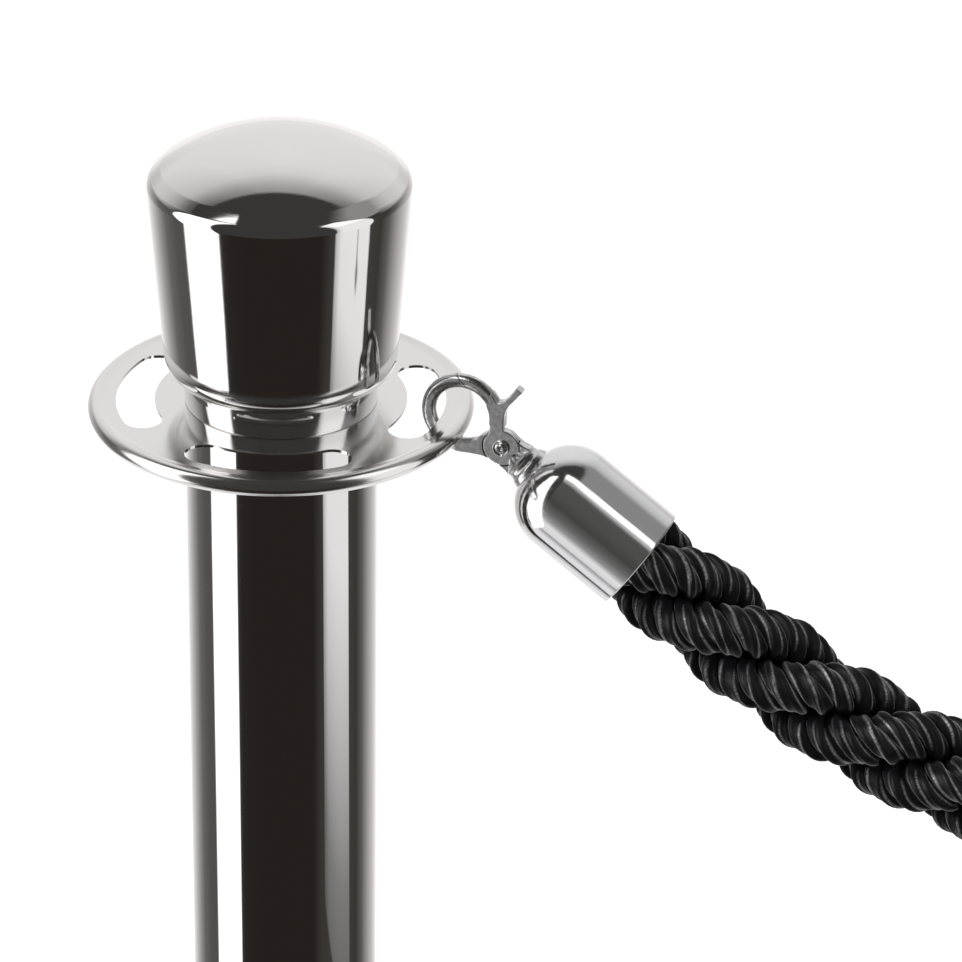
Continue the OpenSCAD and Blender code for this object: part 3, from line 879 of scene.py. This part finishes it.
def make_end(end):
    place = end_place(end)
    parts = [
        ("hook_body", hook_body_mesh(), HOOK_PLATE, end + "_hook", "chrome_plate"),
        ("hook_trigger", hook_trigger_mesh(), HOOK_PLATE, end + "_trigger", "chrome_plate"),
        ("hook_rivet", rivet_mesh(), HOOK_PLATE, end + "_hook", "chrome_plate"),
        ("swivel_collar", swivel_collar_mesh(), HOOK_PLATE, "rope_set", "chrome_plate"),
        ("rope_cap", cap_mesh(), CAP_PLATE, "rope_set", "chrome_plate"),
    ]
    made = []
    for kind, mesh, material, body, slot in parts:
        piece = add_object(end + "_" + kind + "_look", mesh, material, place)
        if kind in ("hook_body", "hook_trigger"):
            keep_flats_flat(piece)
        made.append(settle(piece, body, slot, end + "_" + kind))
    return made


near_pieces = make_end("near")
far_pieces = make_end("far")

# What stays a CAD part: the threaded and hidden pieces
KEPT = {
    "base_weight": IRON, "base_bolt": ZINC, "base_washer": ZINC, "lock_washer": ZINC, "bottom_plug": ZINC,
    "top_plug": ZINC, "crown_stud": ZINC, "crown_insert": ZINC, "near_hook_spring": ZINC,
    "far_hook_spring": ZINC, "near_shank_washer": ZINC, "far_shank_washer": ZINC,
}
for node, material in KEPT.items():
    mesh = frame["nodes"][node].data
    mesh.materials.clear()
    mesh.materials.append(material)

# ---------- studio ----------


class Studio(Nodes):
    """The world's node tree, with short ways to add soft steps and mixes."""

    def product(self, *values):
        result = values[0]
        for value in values[1:]:
            result = self.math("MULTIPLY", result, value)
        return result

    def step(self, value, low, high):
        """A smooth rise from 0 at low to 1 at high."""
        node = self.nodes.new("ShaderNodeMapRange")
        node.interpolation_type = "SMOOTHSTEP"
        node.inputs["From Min"].default_value = low
        node.inputs["From Max"].default_value = high
        self.links.new(value, node.inputs["Value"])
        return node.outputs["Result"]

    def between(self, value, low, high, soft):
        """1 between two limits, which may be numbers or values, with soft edges."""
        above = self.math("DIVIDE", self.math("SUBTRACT", value, low), soft)
        below = self.math("DIVIDE", self.math("SUBTRACT", high, value), soft)
        return self.product(*(self.step(side, -0.5, 0.5) for side in (above, below)))

    def mix(self, factor, a, b, mode="MIX"):
        node = self.nodes.new("ShaderNodeMix")
        node.data_type = "RGBA"
        node.blend_type = mode
        self.feed(node.inputs["Factor"], factor)
        self.feed(node.inputs[6], a)
        self.feed(node.inputs[7], b)
        return node.outputs[2]


def share_of_turn(degrees):
    """A turn from the camera's side, to the right, as a share of the full circle that starts behind."""
    return 0.5 + degrees / 360


def horizon_and_backdrop(studio, turn, y, z):
    """Dark in front and beside the softboxes, light behind, and above a backdrop that leans forward."""
    light, black = (1.02, 1.0, 1.0), (0.023, 0.018, 0.015)
    horizon = studio.ramp(turn, [(share_of_turn(degrees), colour) for degrees, colour in (
        (-180, light), (-165, light), (-146, (0.66, 0.64, 0.65)), (-131, (0.36, 0.35, 0.355)),
        (-118, (0.16, 0.15, 0.15)), (-104, (0.105, 0.10, 0.10)), (-60, (0.08, 0.075, 0.07)),
        (-48, (0.026, 0.022, 0.02)), (-30, black), (40, black), (50, (0.05, 0.045, 0.04)),
        (90, (0.06, 0.055, 0.05)), (104, (0.05, 0.045, 0.04)), (116, (0.13, 0.125, 0.12)),
        (133, (0.44, 0.42, 0.415)), (148, (0.68, 0.65, 0.65)), (165, light), (180, light))])
    sides = studio.ramp(turn, [(share_of_turn(degrees), level) for degrees, level in (
        (-180, 1.0), (-150, 0.95), (-128, 0.72), (-112, 0.36), (-98, 0.10), (-60, 0.05),
        (60, 0.05), (98, 0.10), (112, 0.36), (128, 0.72), (150, 0.95), (180, 1.0))])
    # Dark at the backdrop's top edge and lighter away from it
    slope = studio.math("DIVIDE", y, studio.math("MAXIMUM", z, 0.001))
    backdrop = studio.ramp(slope, [(0.0, 0.0), (0.238, 0.0), (0.262, 0.36), (0.31, 0.42), (0.38, 0.52),
                                   (0.46, 0.66), (0.55, 0.79), (0.70, 0.86), (1.0, 0.89)])
    above = studio.mix(1.0, studio.mix(studio.step(z, 0.1, 0.35), horizon, sides), backdrop, "MULTIPLY")
    return studio.mix(studio.step(z, -0.01, 0.03), horizon, above)


def with_room(studio, surround, turn, z):
    """The dim room above the front, a little lighter to the right."""
    dim, lighter = (0.047, 0.046, 0.043), (0.30, 0.30, 0.30)
    right = studio.between(turn, share_of_turn(52), share_of_turn(128), 0.03)
    room = studio.mix(right, dim, lighter)
    room = studio.mix(studio.between(z, 0.45, 0.86, 0.1), dim, room)
    return studio.mix(studio.step(z, -0.45, -0.40), surround, studio.mix(1.0, surround, room, "LIGHTEN"))


def with_table(studio, surround, front, z):
    """The white table below."""
    table = studio.product(studio.step(z, -0.60, -0.66), studio.step(front, 0.48, 0.12))
    return studio.mix(table, surround, (0.95, 0.94, 0.95))


def with_left_softbox(studio, surround, x, front, z):
    """A tall softbox that leans back, as a plane left of the object, with slanted edges.

    Its edges are given in distances to that plane: how far ahead, and how far above or below.
    """
    foot_drop, lowest, highest, white = 0.55, -0.95, 2.5, (1.7, 1.7, 1.7)
    wide = studio.math("MAXIMUM", studio.math("ABSOLUTE", x), 0.001)
    ahead = studio.math("DIVIDE", front, wide)
    rise = studio.math("DIVIDE", z, wide)
    climb = studio.math("ADD", rise, foot_drop)
    inner_edge = studio.math("MULTIPLY_ADD", climb, -0.104, 0.72)
    outer_edge = studio.math("MAXIMUM", studio.math("MULTIPLY_ADD", climb, -0.2, -0.02), -0.12)
    top_edge = studio.math("MINIMUM", studio.math("MULTIPLY_ADD", ahead, 3.2, 1.3), highest)
    box = studio.product(studio.between(ahead, outer_edge, inner_edge, 0.05),
                         studio.between(rise, lowest, top_edge, 0.12), studio.step(x, 0.0, -0.02))
    return studio.mix(box, surround, white)


def make_studio():
    """Plain white surroundings for what is lit, and softboxes and dark panels for what is mirrored."""
    world = bpy.data.worlds.new("studio")
    bpy.context.scene.world = world
    world.use_nodes = True
    world.cycles.sampling_method = "NONE"
    studio = Studio(world.node_tree)
    studio.nodes.clear()

    direction = studio.nodes.new("ShaderNodeTexCoord").outputs["Generated"]
    turned = studio.nodes.new("ShaderNodeVectorRotate")
    turned.rotation_type = "Z_AXIS"
    turned.inputs["Angle"].default_value = -CAMERA_AZIMUTH
    studio.links.new(direction, turned.inputs["Vector"])
    x, y, z = studio.split(turned.outputs[0])
    front = studio.math("MULTIPLY", y, -1.0)
    turn = studio.math("MULTIPLY_ADD", studio.math("ARCTAN2", x, front), 1 / (2 * math.pi), 0.5)

    surround = horizon_and_backdrop(studio, turn, y, z)
    surround = with_room(studio, surround, turn, z)
    surround = with_table(studio, surround, front, z)
    surround = with_left_softbox(studio, surround, x, front, z)

    path = studio.nodes.new("ShaderNodeLightPath")
    white = (1.0, 1.0, 1.0)
    background = studio.nodes.new("ShaderNodeBackground")
    background.inputs["Strength"].default_value = 1.0
    output = studio.nodes.new("ShaderNodeOutputWorld")
    studio.links.new(studio.mix(path.outputs["Is Glossy Ray"], white, surround), background.inputs["Color"])
    studio.links.new(background.outputs[0], output.inputs["Surface"])


def make_floor():
    finish = Finish("floor", (0.93, 0.93, 0.93), 0.9)
    reach = 6
    corners = [(-reach, -reach, 0), (reach, -reach, 0), (reach, reach, 0), (-reach, reach, 0)]
    mesh = mesh_from(corners, [(0, 1, 2, 3)])
    floor = bpy.data.objects.new("floor", mesh)
    mesh.materials.append(finish.material)
    bpy.context.scene.collection.objects.link(floor)
    floor.visible_glossy = False


def camera_side(turn, climb):
    """A direction from its turn from the camera's side, to the right, and its angle above level."""
    turn, climb = math.radians(turn), math.radians(climb)
    right, front = math.sin(turn) * math.cos(climb), math.cos(turn) * math.cos(climb)
    cosine, sine = math.cos(CAMERA_AZIMUTH), math.sin(CAMERA_AZIMUTH)
    return Vector((right * cosine + front * sine, right * sine - front * cosine, math.sin(climb)))


FLAT = ((0.0, 1.0), (1.0, 1.0))


def panel_light(name, pieces, spot, facing, sideways, size, radiance, across=FLAT, up=FLAT):
    """A panel that only the given pieces reflect. Its brightness follows stops across it and up it."""
    width, height = size
    data = bpy.data.lights.new(name, "AREA")
    data.shape = "RECTANGLE"
    data.size = width
    data.size_y = height
    data.energy = radiance * math.pi * width * height
    data.use_nodes = True
    tree = Nodes(data.node_tree)
    emission = next(node for node in tree.nodes if node.type == "EMISSION")
    place = tree.split(tree.nodes.new("ShaderNodeNewGeometry").outputs["Parametric"])
    level = tree.math("MULTIPLY", tree.ramp(place["X"], across), tree.ramp(place["Y"], up))
    tree.links.new(level, emission.inputs["Strength"])
    away = -facing
    sideways = (sideways - away * sideways.dot(away)).normalized()
    lamp = bpy.data.objects.new(name, data)
    axes = Matrix((sideways, away.cross(sideways), away)).transposed()
    lamp.matrix_world = Matrix.Translation(spot) @ axes.to_4x4()
    lamp.visible_diffuse = False
    bpy.context.scene.collection.objects.link(lamp)
    group = bpy.data.collections.new(name)
    for piece in pieces:
        group.objects.link(piece)
    lamp.light_linking.receiver_collection = group


CAP_MIDDLE = Vector((0.082, -0.019, 0.905))


def strip_light(name, pieces, away, across, size, radiance, fade):
    """A panel one metre from the near cap, in one direction. Its stops run towards another direction."""
    away = camera_side(*away)
    panel_light(name, pieces, CAP_MIDDLE + away, -away, camera_side(*across) - away, size, radiance, fade)


def make_lights():
    """Soft light for the floor and the rope. Mirrors don't show it."""
    aim = Vector((0, 0, 0.9))
    for name, place, size, power in (
        ("key", (-1.6, -1.2, 2.2), 1.4, 32),
        ("fill", (1.6, -1.4, 1.9), 1.4, 26),
        ("top", (0.2, 0.6, 2.6), 2.0, 30),
    ):
        data = bpy.data.lights.new(name, "AREA")
        data.shape = "DISK"
        data.size = size
        data.energy = power
        lamp = bpy.data.objects.new(name, data)
        lamp.location = place
        lamp.rotation_mode = "QUATERNION"
        lamp.rotation_quaternion = (aim - Vector(place)).to_track_quat("-Z", "Y")
        lamp.visible_glossy = False
        bpy.context.scene.collection.objects.link(lamp)


def make_right_softbox(pieces):
    """A softbox right of the post, tilted a little, dim at its foot."""
    lean = math.radians(6)
    right, front, up = camera_side(90, 0), camera_side(0, 0), Vector((0, 0, 1))
    panel_light("right_softbox", pieces, spot=Vector((0, 0, 1.19)) + right * 0.6 + front * 0.31,
                facing=-right, sideways=up * math.sin(lean) - front * math.cos(lean),
                size=(0.45, 1.7), radiance=0.95, across=[(0.0, 0.55), (0.2, 1.0), (1.0, 1.0)],
                up=[(0.0, 0.12), (0.03, 0.2), (0.12, 0.9), (0.2, 1.0)])


def make_panels():
    """Panels for each kind of piece. Caps and rope aren't mirrored in the other pieces."""
    caps = [piece for piece in near_pieces + far_pieces if "rope_cap" in piece.name]
    hooks = [piece for piece in near_pieces + far_pieces if "hook_" in piece.name]
    post = [piece for piece in bpy.data.objects if piece.type == "MESH"
            and not piece.name.startswith(("near", "far", "twisted", "floor"))]
    strip_light("cap_low_panel", caps, away=(-32, -22), across=(-52, -43), size=(1.2, 1.6), radiance=0.95,
                fade=[(0.0, 0.0), (0.15, 0.06), (0.35, 0.13), (0.55, 0.32), (0.75, 1.0), (1.0, 0.8)])
    strip_light("cap_high_panel", caps, away=(35, 46), across=(56, 51), size=(0.42, 1.6), radiance=2.2,
                fade=[(0.0, 0.0), (0.4, 0.3), (0.55, 1.0), (0.85, 1.0), (1.0, 0.0)])
    make_right_softbox(post)
    strip_light("cap_front_panel", caps, away=(5, 20), across=(36, 46), size=(1.3, 1.9), radiance=0.05,
                fade=[(0.0, 0.2), (0.5, 1.0), (1.0, 1.0)])
    strip_light("hook_panel", hooks, away=(-40, -27), across=(-52, -43), size=(1.3, 1.5), radiance=0.30,
                fade=[(0.0, 0.7), (1.0, 1.0)])
    strip_light("hook_top_panel", hooks, away=(-60, 40), across=(-30, 60), size=(0.4, 1.0), radiance=2.5,
                fade=[(0.0, 0.7), (1.0, 1.0)])
    strip_light("rope_left_panel", [rope], away=(-62, 15), across=(-40, 15), size=(0.30, 1.2), radiance=24,
                fade=[(0.0, 0.5), (1.0, 1.0)])
    strip_light("rope_right_panel", [rope], away=(66, 30), across=(90, 30), size=(0.25, 1.2), radiance=6,
                fade=[(0.0, 0.5), (1.0, 1.0)])
    for piece in [*caps, rope]:
        piece.visible_glossy = False


make_studio()
make_floor()
make_lights()
make_panels()
bpy.context.scene.view_settings.view_transform = "Standard"
